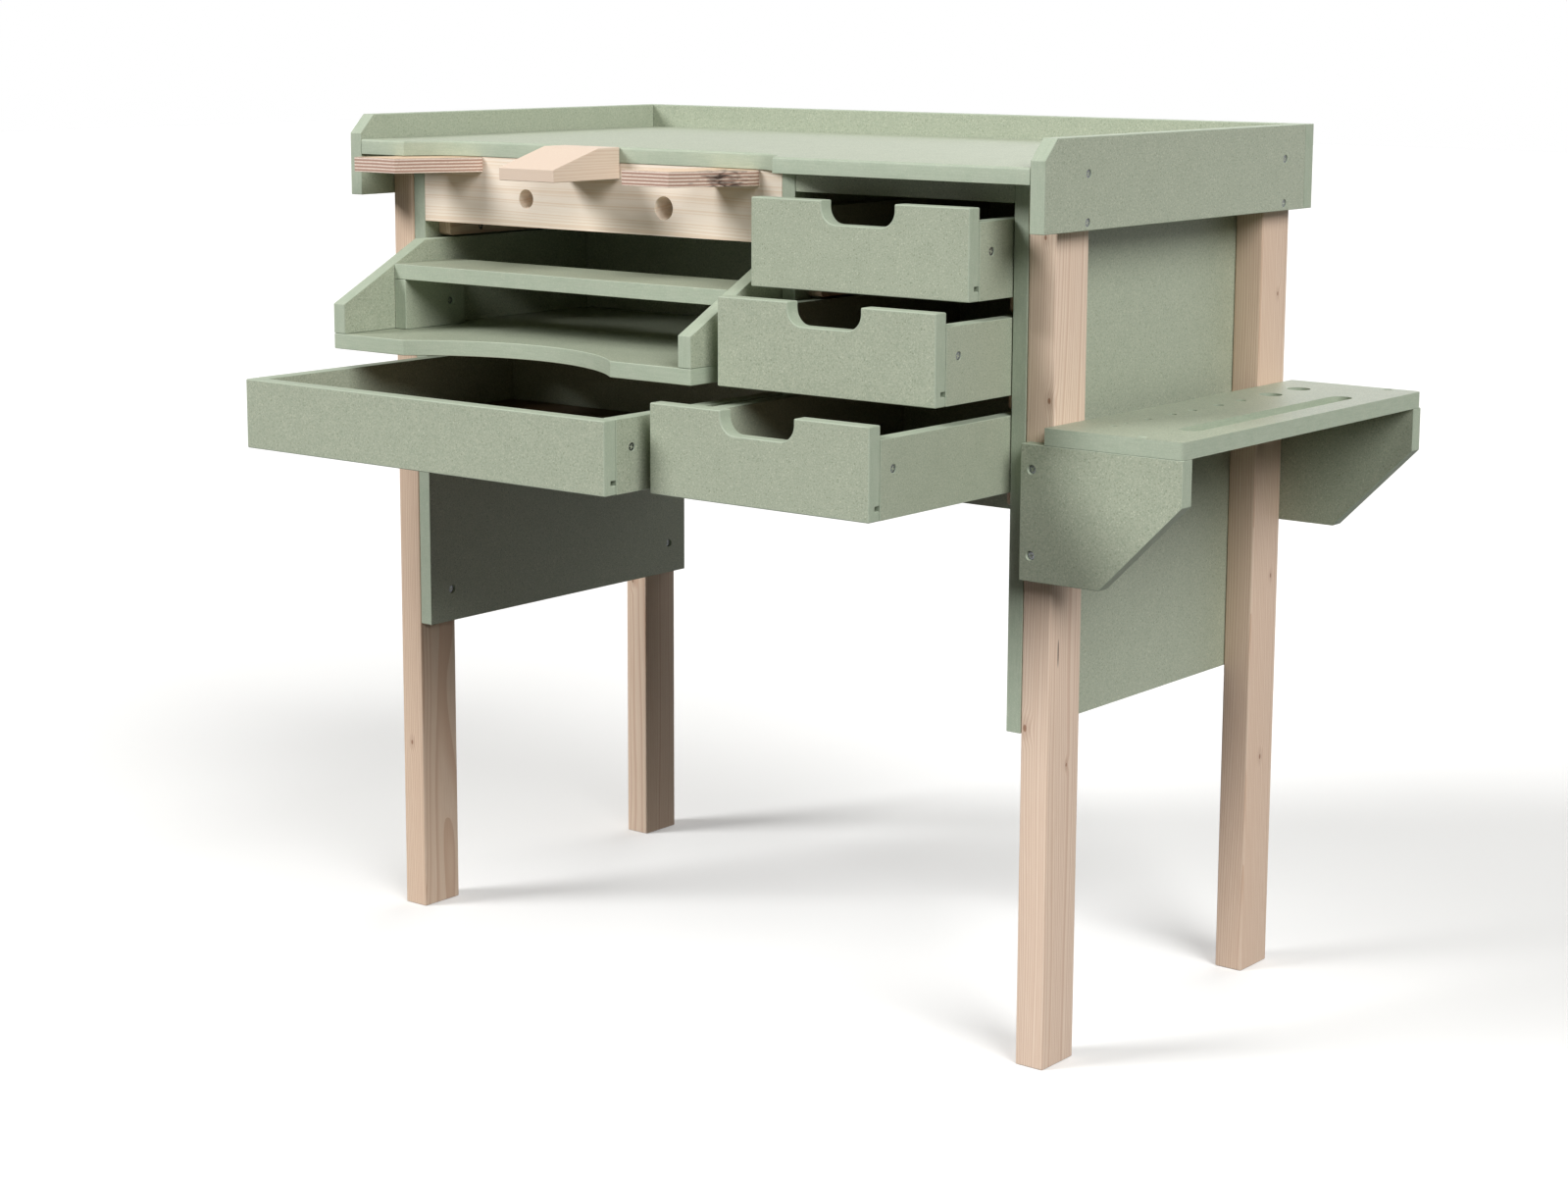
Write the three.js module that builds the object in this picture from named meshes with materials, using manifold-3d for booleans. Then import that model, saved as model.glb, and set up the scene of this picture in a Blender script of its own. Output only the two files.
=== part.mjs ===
// Jeweller's workbench: a softwood and MDF frame, a worktop with a gallery, a bench pin and arm rests,
// a sliding tray, four drawers and a side shelf for hand tools.
//
// Millimetres, +X to the right, +Y to the rear, +Z up. While the bench is put together x = 0 is the middle
// between the legs, y = 0 the front face of the front legs and z = 0 the floor. The finished bench is then
// moved so that the middle of its footprint is the origin.

import * as THREE from 'three';
import { mergeVertices } from 'three/addons/utils/BufferGeometryUtils.js';
import Module from 'manifold-3d';

const manifold = await Module();
manifold.setup();

// ---------------------------------------------------------------- driving dimensions

// Stock
const board = 18; // thickness of every MDF and plywood board
const legWidth = 35; // legs and apron are cut from the same planed timber
const legDepth = 60;
const legEase = 2.5; // rounding of the long edges of a leg
const seam = 0.3; // joint between two boards that meet
const arcSteps = 8; // straight pieces in a quarter turn

// Frame
const benchWidth = 1000; // over the two gallery side boards
const frameDepth = 485; // front of the front legs to rear of the rear legs
const worktopHeight = 964; // floor to the top of the worktop
const sidePanelBottom = 365; // height of the side panels' lower edge
const backPanelBelow = 94; // back panel's lower edge below the divider's
const trayBayWidth = 552; // left side panel to divider
const apronHeight = 80;
const upperRailHeight = 22;

// Worktop and gallery
const frontOverhang = 53; // worktop in front of the legs
const cutoutInset = 19.5; // left end of the cut-out in the front edge, inside the tray bay's left end
const cutoutOverrun = 27.5; // right end of the cut-out, beyond the tray bay's right end
const cutoutEndRun = 73; // length of the curve at each end of the cut-out
const cutoutFloor = 1; // the cut-out stops this far in front of the apron
const galleryHeight = 96;
const galleryRise = 29; // gallery above the worktop
const galleryChamfer = 22;

// Bench pin and arm rests, each held by a tongue in a notch of the apron
const tongueLength = 50;
const tongueClearance = 0.3; // all round a tongue in its notch
const pinWidth = 84;
const pinLength = 112;
const pinTip = 14.5; // thickness of the pin's front edge
const pinFlat = 36; // length of the pin's level top
const pinTongueWidth = 60;
const pinShift = -2; // middle of the pin from the middle of the tray bay
const armrestReach = 98; // in front of the apron
const armrestWidth = 68;
const armrestSlant = 48; // how far both sides lean to the right on their way back
const armrestShoulder = 7; // straight end of each side next to the apron
const armrestTongueWidth = 56;
const armrestOverrun = 18; // left arm rest beyond the left end of the tray bay
const armrestInset = 148; // left side of the right arm rest from the right end of the tray bay

// Round holes in the apron, each from its own end of the tray bay and from the underside of the worktop
const apronHoleLeft = { inset: 168, diameter: 22.5, drop: 47 };
const apronHoleRight = { inset: 171, diameter: 27, drop: 48.5 };

// Runners, drawers and tray
const runnerWidth = 19;
const runnerHeight = 18;
const runnerSetback = 23; // runner's front end behind the front of the frame
const runnerRound = 5;
const drawerPitch = 102.5; // from one runner level to the next
const slideGap = 1.5; // beside a drawer or the tray, on each side
const restGap = 0.3; // under a drawer or the tray
const rearRoom = 26.7; // behind a closed drawer
const railGap = 1.6; // over the top drawer's front
const frontGap = 6.5; // between the fronts of two small drawers
const smallHeadroom = 2.7; // over the sides of a small drawer
const wideHeadroom = 4.7; // over the wide drawer
const trayHeadroom = 2.3; // over the sides of the tray
const bottomThickness = 4;
const grooveDepth = 8;
const grooveLift = 10.5; // groove above the drawer's lower edge
const notchWidth = 95; // finger notch at the top of a small front
const notchDepth = 25;
const notchRound = 18;
const drawerOpenings = { top: 78.5, middle: 135, lower: 245 }; // how far each stands open
const wideOpening = 292;
const trayOpening = 154;

// Tray
const trayLipHeight = 35; // front edge of a side, above the base
const traySlope = 134.5; // length of the sloped part of a side
const traySetback = 82; // shelf behind the front of the tray
const trayShelfDrop = 26; // shelf below the top of the sides
const trayShelfDepth = 100;
const trayScoopInset = 115; // straight front edge of the base at each end
const trayScoopDepth = 60;

// Side shelf
const shelfTop = 696.5; // height of the tool shelf
const shelfReach = 165; // shelf beyond the right legs
const shelfCorner = 6;
const bracketInset = 6.5; // bracket's inner end from the inner face of the leg
const bracketHeight = 144;
const bracketNose = 48; // height of a bracket's outer end
const bracketChamfer = 96;
const toolHoleInset = 47; // row of tool holes from the legs
const toolRowFront = 41; // first hole behind the front of the frame
const toolRowRear = 51; // last hole before the rear of the frame
const toolHoles = [ // place along the row, from 0 to 1, and diameter
  { along: 0, diameter: 7 },
  { along: 0.06, diameter: 4.5 },
  { along: 0.168, diameter: 8.5 },
  { along: 0.295, diameter: 9.5 },
  { along: 0.402, diameter: 10.5 },
  { along: 0.54, diameter: 13 },
  { along: 0.667, diameter: 11.5 },
  { along: 0.835, diameter: 26 },
  { along: 1, diameter: 27 },
];
const trough = { inset: 108, width: 26, frontMargin: 58, rearMargin: 79, depth: 9 };

// ---------------------------------------------------------------- places worked out from the dimensions

const legSpan = benchWidth - 2 * board - 2 * legWidth; // between the inner faces of the legs
const legX = legSpan / 2;
const panelInner = legX - seam - board; // inner face of a side panel
const legTop = worktopHeight - board - seam;
const trayBayLeft = -panelInner;
const dividerLeft = trayBayLeft + trayBayWidth;
const dividerRight = dividerLeft + board;
const panelRear = frameDepth - board - seam; // front face of the back panel, less the seam
const apronBottom = legTop - apronHeight;
const trayBayMiddle = trayBayLeft + trayBayWidth / 2;
const tongueThickness = board - 2 * tongueClearance;
const tongueTop = legTop - tongueClearance;
const tongueBottom = tongueTop - tongueThickness;
const notchFloor = tongueBottom - tongueClearance;
const cutoutDepth = frontOverhang - cutoutFloor;

// Drawers hang from the upper rail downwards, level by level. Level 0 is the lowest.
const smallFrontHeight = drawerPitch - frontGap;
const smallSideHeight = drawerPitch - restGap - runnerHeight - smallHeadroom;
const wideHeight = drawerPitch - restGap - runnerHeight - wideHeadroom;
const topRunner = legTop - upperRailHeight - railGap - smallFrontHeight - restGap;
const runnerTops = [2, 1, 0].map((stepsDown) => topRunner - stepsDown * drawerPitch);
const dividerBottom = runnerTops[0] - runnerHeight;
const kickerTop = apronBottom - seam;
const trayTop = kickerTop - runnerHeight - trayHeadroom;
const drawerLength = panelRear - rearRoom;
const runnerRear = panelRear - seam;

// ---------------------------------------------------------------- materials

const greenMdf = () => new THREE.MeshStandardMaterial({ color: 0xa6b09c, roughness: 0.7, metalness: 0 });
const softwood = () => new THREE.MeshStandardMaterial({ color: 0xdcc3ab, roughness: 0.6, metalness: 0 });
const birchPly = () => new THREE.MeshStandardMaterial({ color: 0xc9a88e, roughness: 0.6, metalness: 0 });
const hardboard = () => new THREE.MeshStandardMaterial({ color: 0x6b5136, roughness: 0.65, metalness: 0 });

// ---------------------------------------------------------------- shaping

// A board given by its lowest and highest corners.
function block(name, material, low, high) {
  const size = high.map((value, axis) => value - low[axis]);
  const mesh = new THREE.Mesh(new THREE.BoxGeometry(...size), material);
  mesh.name = name;
  mesh.position.set(...low.map((value, axis) => value + size[axis] / 2));
  return mesh;
}

// Extrusions of an outline along one axis. The outline's own two directions are named first.
const extrude = {
  // outline in x and y, cut from z upwards
  xy: (shape, depth) => new THREE.ExtrudeGeometry(shape, extrusion(depth)),
  // outline in x and z, cut from y to the rear
  xz: (shape, depth) =>
    new THREE.ExtrudeGeometry(shape, extrusion(depth)).rotateX(Math.PI / 2).translate(0, depth, 0),
  // outline in y and z, cut from x to the right
  yz: (shape, depth) =>
    new THREE.ExtrudeGeometry(shape, extrusion(depth)).rotateX(Math.PI / 2).rotateZ(Math.PI / 2),
};

function extrusion(depth) {
  return { depth, bevelEnabled: false, steps: 1, curveSegments: arcSteps };
}

function piece(name, material, geometry, place = [0, 0, 0]) {
  const mesh = new THREE.Mesh(geometry, material);
  mesh.name = name;
  mesh.position.set(...place);
  return mesh;
}

function outline(points) {
  return new THREE.Shape(points.map(([a, b]) => new THREE.Vector2(a, b)));
}

function roundHole(x, y, diameter) {
  const sides = diameter > 20 ? 32 : 16;
  const points = Array.from({ length: sides }, (_, i) => {
    const angle = (-2 * Math.PI * i) / sides;
    return new THREE.Vector2(x + (diameter / 2) * Math.cos(angle), y + (diameter / 2) * Math.sin(angle));
  });
  return new THREE.Path(points);
}

// Points on an arc about a centre, both ends included. Angles in degrees.
function arc(centreA, centreB, radius, from, to, steps = arcSteps) {
  return Array.from({ length: steps + 1 }, (_, i) => {
    const angle = THREE.MathUtils.degToRad(from + ((to - from) * i) / steps);
    return [centreA + radius * Math.cos(angle), centreB + radius * Math.sin(angle)];
  });
}

// Radius of the arc that falls by rise over half its chord.
function arcRadius(halfChord, rise) {
  return (halfChord ** 2 + rise ** 2) / (2 * rise);
}

function roundedRectangle(a0, b0, a1, b1, radius, steps = arcSteps) {
  return outline([
    ...arc(a1 - radius, b0 + radius, radius, -90, 0, steps),
    ...arc(a1 - radius, b1 - radius, radius, 0, 90, steps),
    ...arc(a0 + radius, b1 - radius, radius, 90, 180, steps),
    ...arc(a0 + radius, b0 + radius, radius, 180, 270, steps),
  ]);
}

// A closed geometry as a solid that can be joined and cut.
function solid(geometry) {
  const shell = geometry.clone();
  shell.deleteAttribute('normal');
  shell.deleteAttribute('uv');
  const merged = mergeVertices(shell, 1e-4);
  return new manifold.Manifold(new manifold.Mesh({
    numProp: 3,
    vertProperties: Float32Array.from(merged.attributes.position.array),
    triVerts: Uint32Array.from(merged.index.array),
  }));
}

function toGeometry(body) {
  const mesh = body.getMesh();
  const geometry = new THREE.BufferGeometry();
  geometry.setAttribute('position', new THREE.BufferAttribute(mesh.vertProperties, 3));
  geometry.setIndex(new THREE.BufferAttribute(mesh.triVerts, 1));
  geometry.computeVertexNormals();
  return geometry;
}

function cut(geometry, ...tools) {
  return toGeometry(tools.reduce((body, tool) => body.subtract(solid(tool)), solid(geometry)));
}

function boxGeometry(low, high) {
  const size = high.map((value, axis) => value - low[axis]);
  return new THREE.BoxGeometry(...size).translate(...low.map((value, axis) => value + size[axis] / 2));
}

// ---------------------------------------------------------------- frame

function legs() {
  const places = {
    leg_front_left: [-legX - legWidth, 0],
    leg_front_right: [legX, 0],
    leg_rear_left: [-legX - legWidth, frameDepth - legDepth],
    leg_rear_right: [legX, frameDepth - legDepth],
  };
  return Object.entries(places).map(([name, [x, y]]) => {
    const section = roundedRectangle(0, 0, legWidth, legDepth, legEase, 3);
    return piece(name, softwood(), extrude.xy(section, legTop), [x, y, 0]);
  });
}

function panels() {
  const sideLow = -panelInner - board;
  return [
    block('side_panel_left', greenMdf(), [sideLow, 0, sidePanelBottom], [-panelInner, frameDepth, legTop]),
    block('side_panel_right', greenMdf(), [panelInner, 0, sidePanelBottom], [-sideLow, frameDepth, legTop]),
    block('back_panel', greenMdf(), [-panelInner + seam, frameDepth - board, dividerBottom - backPanelBelow],
      [panelInner - seam, frameDepth, legTop]),
    block('divider', greenMdf(), [dividerLeft, 0, dividerBottom], [dividerRight, panelRear, legTop]),
    block('upper_rail', greenMdf(), [dividerRight + seam, 0, legTop - upperRailHeight],
      [panelInner - seam, board, legTop]),
  ];
}

// Left sides of the arm rests and of the pin.
const armrestTongueInset = armrestSlant + (armrestWidth - armrestTongueWidth) / 2;
const armrestPlaces = [trayBayLeft - armrestOverrun, dividerLeft - armrestInset];
const pinLeft = trayBayMiddle + pinShift - pinWidth / 2;

// The apron's notches, each open to the worktop, as [left, right].
function apronNotches() {
  const rests = armrestPlaces.map((left) => [
    left + armrestTongueInset - tongueClearance,
    left + armrestTongueInset + armrestTongueWidth + tongueClearance,
  ]);
  const pinTongueLeft = pinLeft + (pinWidth - pinTongueWidth) / 2;
  const pin = [pinTongueLeft - tongueClearance, pinTongueLeft + pinTongueWidth + tongueClearance];
  return [rests[0], pin, rests[1]];
}

function apron() {
  const left = trayBayLeft + seam;
  const right = dividerLeft - seam;
  const topEdge = apronNotches().reverse().flatMap(([a, b]) => [
    [b, legTop],
    [b, notchFloor],
    [a, notchFloor],
    [a, legTop],
  ]);
  const front = outline([
    [left, apronBottom],
    [right, apronBottom],
    [right, legTop],
    ...topEdge,
    [left, legTop],
  ]);
  const drill = (x, { drop, diameter }) => front.holes.push(roundHole(x, legTop - drop, diameter));
  drill(trayBayLeft + apronHoleLeft.inset, apronHoleLeft);
  drill(dividerLeft - apronHoleRight.inset, apronHoleRight);
  return piece('apron', softwood(), extrude.xz(front, legWidth));
}

// A runner or kicker of softwood strip, its lower front corner rounded.
function runner(name, left, top) {
  const bottom = top - runnerHeight;
  const side = outline([
    ...arc(runnerSetback + runnerRound, bottom + runnerRound, runnerRound, 180, 270, 4),
    [runnerRear, bottom],
    [runnerRear, top],
    [runnerSetback, top],
  ]);
  return piece(name, softwood(), extrude.yz(side, runnerWidth), [left, 0, 0]);
}

function runners() {
  const onLeftPanel = trayBayLeft + seam;
  const dividerTraySide = dividerLeft - seam - runnerWidth;
  const dividerDrawerSide = dividerRight + seam;
  const onRightPanel = panelInner - seam - runnerWidth;
  return [
    runner('runner_wide_left', onLeftPanel, runnerTops[0]),
    runner('runner_wide_right', dividerTraySide, runnerTops[0]),
    runner('runner_tray_left', onLeftPanel, runnerTops[1]),
    runner('runner_tray_right', dividerTraySide, runnerTops[1]),
    runner('kicker_tray_left', onLeftPanel, kickerTop),
    runner('kicker_tray_right', dividerTraySide, kickerTop),
    ...['lower', 'middle', 'top'].flatMap((level, i) => [
      runner(`runner_${level}_left`, dividerDrawerSide, runnerTops[i]),
      runner(`runner_${level}_right`, onRightPanel, runnerTops[i]),
    ]),
  ];
}

// ---------------------------------------------------------------- top

function worktop() {
  const half = legX + legWidth - seam;
  const front = -frontOverhang;
  const radius = arcRadius(cutoutEndRun, cutoutDepth);
  const sweep = THREE.MathUtils.radToDeg(Math.asin(cutoutEndRun / radius));
  const leftEnd = trayBayLeft + cutoutInset + cutoutEndRun;
  const rightEnd = dividerLeft + cutoutOverrun - cutoutEndRun;
  const centreY = -cutoutFloor - radius;
  const top = outline([
    [-half, front],
    ...arc(leftEnd, centreY, radius, 90 + sweep, 90, 2 * arcSteps),
    ...arc(rightEnd, centreY, radius, 90, 90 - sweep, 2 * arcSteps),
    [half, front],
    [half, frameDepth - seam],
    [-half, frameDepth - seam],
  ]);
  return piece('worktop', greenMdf(), extrude.xy(top, board), [0, 0, worktopHeight - board]);
}

function gallery() {
  const top = worktopHeight + galleryRise;
  const bottom = top - galleryHeight;
  const front = -frontOverhang;
  const rear = frameDepth - seam;
  const side = outline([
    [front, bottom],
    [rear, bottom],
    [rear, top],
    [front + galleryChamfer, top],
    [front, top - galleryChamfer],
  ]);
  const inner = legX + legWidth + seam;
  return [
    piece('gallery_left', greenMdf(), extrude.yz(side, board), [-inner - board, 0, 0]),
    piece('gallery_right', greenMdf(), extrude.yz(side, board), [inner, 0, 0]),
    block('gallery_back', greenMdf(), [-inner - board, frameDepth + seam, bottom],
      [inner + board, frameDepth + seam + board, top]),
  ];
}

// A plywood arm rest: a slanted bar in front of the apron with a narrower tongue that passes through it.
function armrest(name, left) {
  const tongueLeft = left + armrestTongueInset;
  const tongueRight = tongueLeft + armrestTongueWidth;
  const rearLeft = left + armrestSlant;
  const rearRight = rearLeft + armrestWidth;
  const shape = outline([
    [rearLeft, -seam],
    [rearLeft, -seam - armrestShoulder],
    [left, -armrestReach],
    [left + armrestWidth, -armrestReach],
    [rearRight, -seam - armrestShoulder],
    [rearRight, -seam],
    [tongueRight, -seam],
    [tongueRight, tongueLength],
    [tongueLeft, tongueLength],
    [tongueLeft, -seam],
  ]);
  return piece(name, birchPly(), extrude.xy(shape, tongueThickness), [0, 0, tongueBottom]);
}

// The bench pin: a wedge in front of the apron, level with the worktop, with a narrower tongue behind it.
function benchPin() {
  const rear = -cutoutFloor - seam;
  const wedge = outline([
    [-pinLength, tongueBottom],
    [rear, tongueBottom],
    [rear, worktopHeight],
    [rear - pinFlat, worktopHeight],
    [-pinLength, tongueBottom + pinTip],
  ]);
  const tongueLeft = pinLeft + (pinWidth - pinTongueWidth) / 2;
  const tongue = boxGeometry([tongueLeft, -pinFlat, tongueBottom],
    [tongueLeft + pinTongueWidth, tongueLength, tongueTop]);
  const body = solid(extrude.yz(wedge, pinWidth).translate(pinLeft, 0, 0)).add(solid(tongue));
  return piece('bench_pin', softwood(), toGeometry(body));
}

// ---------------------------------------------------------------- sliding tray

function tray() {
  const left = trayBayLeft + slideGap;
  const right = dividerLeft - slideGap;
  const bottom = runnerTops[1] + restGap;
  const front = -trayOpening;
  const rear = front + drawerLength;
  const floor = bottom + board;
  const scoopHalf = (right - left) / 2 - trayScoopInset;
  const scoopRadius = arcRadius(scoopHalf, trayScoopDepth);
  const scoopSweep = THREE.MathUtils.radToDeg(Math.asin(scoopHalf / scoopRadius));
  const base = outline([
    [left, front],
    ...arc((left + right) / 2, front + trayScoopDepth - scoopRadius, scoopRadius,
      90 + scoopSweep, 90 - scoopSweep, 3 * arcSteps),
    [right, front],
    [right, rear],
    [left, rear],
  ]);
  const side = outline([
    [front, floor + seam],
    [rear, floor + seam],
    [rear, trayTop],
    [front + traySlope, trayTop],
    [front, floor + trayLipHeight],
  ]);
  const innerLeft = left + board + seam;
  const innerRight = right - board - seam;
  const shelfFront = front + traySetback;
  const shelfRear = shelfFront + trayShelfDepth;
  const shelfBottom = trayTop - trayShelfDrop - board;
  const support = (name, x) => block(name, greenMdf(), [x, shelfFront, floor + seam],
    [x + board, shelfRear, shelfBottom - seam]);
  return [
    piece('tray_base', greenMdf(), extrude.xy(base, board), [0, 0, bottom]),
    piece('tray_side_left', greenMdf(), extrude.yz(side, board), [left, 0, 0]),
    piece('tray_side_right', greenMdf(), extrude.yz(side, board), [right - board, 0, 0]),
    block('tray_shelf', greenMdf(), [innerLeft, shelfFront, shelfBottom],
      [innerRight, shelfRear, shelfBottom + board]),
    support('tray_support_left', innerLeft),
    support('tray_support_right', innerRight - board),
    block('tray_back', greenMdf(), [innerLeft, rear - board, floor + seam], [innerRight, rear, trayTop]),
  ];
}

// ---------------------------------------------------------------- drawers

// Front of a drawer with its finger notch, in x and z, from the middle of its lower edge.
function frontOutline(width, height, notched) {
  const half = width / 2;
  const notchHalf = notchWidth / 2;
  const floor = height - notchDepth;
  const notch = [
    [notchHalf, height],
    ...arc(notchHalf - notchRound, floor + notchRound, notchRound, 0, -90),
    ...arc(-notchHalf + notchRound, floor + notchRound, notchRound, -90, -180),
    [-notchHalf, height],
  ];
  return outline([[-half, 0], [half, 0], [half, height], ...(notched ? notch : []), [-half, height]]);
}

// A drawer box: grooved front, sides and back of MDF, and a thin bottom in the grooves.
function drawer({ name, left, right, bottom, opening, frontHeight, sideHeight, notched }) {
  const front = -opening;
  const rear = front + drawerLength;
  const grooveLow = bottom + grooveLift;
  const grooveHigh = grooveLow + bottomThickness + 2 * restGap;
  const bodyFront = front + board + seam;
  const bodyRear = rear - board - seam;
  const faceGroove = boxGeometry([left - 1, front + board - grooveDepth, grooveLow],
    [right + 1, bodyFront + 1, grooveHigh]);
  const face = extrude.xz(frontOutline(right - left, frontHeight, notched), board)
    .translate((left + right) / 2, front, bottom);
  const side = (x0, grooveX) => cut(
    boxGeometry([x0, bodyFront, bottom], [x0 + board, rear, bottom + sideHeight]),
    boxGeometry([grooveX, bodyFront - 1, grooveLow], [grooveX + grooveDepth + 1, rear + 1, grooveHigh]),
  );
  const innerLeft = left + board + seam;
  const innerRight = right - board - seam;
  const back = cut(
    boxGeometry([innerLeft, bodyRear + seam, bottom], [innerRight, rear, bottom + sideHeight]),
    boxGeometry([innerLeft - 1, bodyRear - 1, grooveLow],
      [innerRight + 1, bodyRear + seam + grooveDepth, grooveHigh]),
  );
  const tuck = grooveDepth - 1; // the bottom stops 1 mm short of the groove's floor
  return [
    piece(`${name}_front`, greenMdf(), cut(face, faceGroove)),
    piece(`${name}_side_left`, greenMdf(), side(left, left + board - grooveDepth)),
    piece(`${name}_side_right`, greenMdf(), side(right - board, right - board - 1)),
    piece(`${name}_back`, greenMdf(), back),
    block(`${name}_bottom`, hardboard(), [left + board - tuck, front + board - tuck, grooveLow + restGap],
      [right - board + tuck, bodyRear + seam + tuck, grooveHigh - restGap]),
  ];
}

function drawers() {
  const small = ['lower', 'middle', 'top'].flatMap((name, i) => drawer({
    name,
    left: dividerRight + slideGap,
    right: panelInner - slideGap,
    bottom: runnerTops[i] + restGap,
    opening: drawerOpenings[name],
    frontHeight: smallFrontHeight,
    sideHeight: smallSideHeight,
    notched: true,
  }));
  const wide = drawer({
    name: 'wide',
    left: trayBayLeft + slideGap,
    right: dividerLeft - slideGap,
    bottom: runnerTops[0] + restGap,
    opening: wideOpening,
    frontHeight: wideHeight,
    sideHeight: wideHeight,
    notched: false,
  });
  return [...wide, ...small];
}

// ---------------------------------------------------------------- side shelf

function toolShelf() {
  const left = legX + legWidth + seam;
  const right = legX + legWidth + shelfReach;
  const front = -board - seam;
  const rear = frameDepth + board + seam;
  const shape = outline([
    [left, front],
    ...arc(right - shelfCorner, front + shelfCorner, shelfCorner, -90, 0),
    ...arc(right - shelfCorner, rear - shelfCorner, shelfCorner, 0, 90),
    [left, rear],
  ]);
  const holeX = legX + legWidth + toolHoleInset;
  const rowLength = frameDepth - toolRowFront - toolRowRear;
  toolHoles.forEach(({ along, diameter }) => {
    shape.holes.push(roundHole(holeX, toolRowFront + along * rowLength, diameter));
  });
  const troughLeft = legX + legWidth + trough.inset;
  const troughRight = troughLeft + trough.width;
  const troughRear = frameDepth - trough.rearMargin;
  const slot = roundedRectangle(troughLeft, trough.frontMargin, troughRight, troughRear, trough.width / 2);
  const slotTool = extrude.xy(slot, trough.depth + 1).translate(0, 0, shelfTop - trough.depth);
  const shelf = extrude.xy(shape, board).translate(0, 0, shelfTop - board);
  return piece('tool_shelf', greenMdf(), cut(shelf, slotTool));
}

function brackets() {
  const left = legX + bracketInset;
  const right = legX + legWidth + shelfReach;
  const top = shelfTop - board - seam;
  const bottom = top - bracketHeight;
  const shape = () => outline([
    [left, bottom],
    [right - bracketChamfer, bottom],
    [right, top - bracketNose],
    [right, top],
    [left, top],
  ]);
  return [
    piece('shelf_bracket_front', greenMdf(), extrude.xz(shape(), board), [0, -board - seam, 0]),
    piece('shelf_bracket_rear', greenMdf(), extrude.xz(shape(), board), [0, frameDepth + seam, 0]),
  ];
}

// ---------------------------------------------------------------- assembly

const bench = new THREE.Group();
bench.add(
  ...legs(),
  ...panels(),
  apron(),
  ...runners(),
  worktop(),
  ...gallery(),
  armrest('armrest_left', armrestPlaces[0]),
  armrest('armrest_right', armrestPlaces[1]),
  benchPin(),
  ...tray(),
  ...drawers(),
  toolShelf(),
  ...brackets(),
);

const extent = new THREE.Box3().setFromObject(bench);
bench.position.set(-(extent.min.x + extent.max.x) / 2, -(extent.min.y + extent.max.y) / 2, -extent.min.z);

const workbench = new THREE.Group();
workbench.add(bench);

export default workbench;
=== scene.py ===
# Jeweller's bench in softwood and green moisture-resistant MDF, with its drawers and tray standing open.
# The sections follow the bench as it is put together: legs, boards, apron, runners, top, pin and arm
# rests, tray, drawers, side shelf, screws. The floor, the lights and the camera come last.

import math

import bpy
from mathutils import Matrix, Vector


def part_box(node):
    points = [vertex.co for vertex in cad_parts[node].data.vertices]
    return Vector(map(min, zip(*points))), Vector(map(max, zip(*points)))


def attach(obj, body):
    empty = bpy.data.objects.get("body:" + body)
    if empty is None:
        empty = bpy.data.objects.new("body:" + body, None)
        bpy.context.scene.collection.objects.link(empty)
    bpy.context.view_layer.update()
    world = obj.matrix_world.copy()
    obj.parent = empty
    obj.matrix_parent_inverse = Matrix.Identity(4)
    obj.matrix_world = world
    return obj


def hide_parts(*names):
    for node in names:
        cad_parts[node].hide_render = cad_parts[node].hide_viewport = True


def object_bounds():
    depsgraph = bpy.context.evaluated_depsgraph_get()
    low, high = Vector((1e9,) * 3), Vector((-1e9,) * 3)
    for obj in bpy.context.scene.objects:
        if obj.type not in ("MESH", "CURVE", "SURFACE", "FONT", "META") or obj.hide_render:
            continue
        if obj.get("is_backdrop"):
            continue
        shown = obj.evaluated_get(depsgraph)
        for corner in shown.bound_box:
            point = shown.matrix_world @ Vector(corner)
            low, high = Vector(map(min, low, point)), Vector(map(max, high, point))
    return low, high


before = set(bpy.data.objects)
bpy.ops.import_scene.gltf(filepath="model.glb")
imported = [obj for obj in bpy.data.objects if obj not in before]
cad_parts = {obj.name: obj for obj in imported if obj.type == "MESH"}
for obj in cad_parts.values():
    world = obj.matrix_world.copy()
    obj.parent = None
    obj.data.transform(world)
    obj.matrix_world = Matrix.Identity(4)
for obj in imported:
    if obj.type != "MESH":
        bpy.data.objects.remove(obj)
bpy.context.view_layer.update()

scene = bpy.context.scene


# ---------------------------------------------------------------- legs
# Four legs of planed spruce, 35 x 60 mm, with their long edges rounded over. The wood is pale and a little
# pink, with fine straight grain and a few small pin knots. It is sanded and has no finish on it. Drying has
# opened a short split in the front right leg.

def linear(hex_colour):
    """An sRGB hex colour as a linear RGBA tuple."""
    channels = [int(hex_colour[i:i + 2], 16) / 255 for i in (1, 3, 5)]
    return (*(c / 12.92 if c <= 0.04045 else ((c + 0.055) / 1.055) ** 2.4 for c in channels), 1.0)


def add(tree, kind, inputs=None, stops=None, **settings):
    """Adds a node. Settings are its properties; inputs maps a socket to a value or another node's output."""
    node = tree.nodes.new(kind)
    for name, value in settings.items():
        setattr(node, name, value)
    for socket, value in (inputs or {}).items():
        if isinstance(value, bpy.types.NodeSocket):
            tree.links.new(value, node.inputs[socket])
        else:
            node.inputs[socket].default_value = value
    if stops:
        elements = node.color_ramp.elements
        while len(elements) < len(stops):
            elements.new(0.5)
        for element, (place, colour) in zip(elements, stops):
            element.position = place
            element.color = colour
    return node


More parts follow.
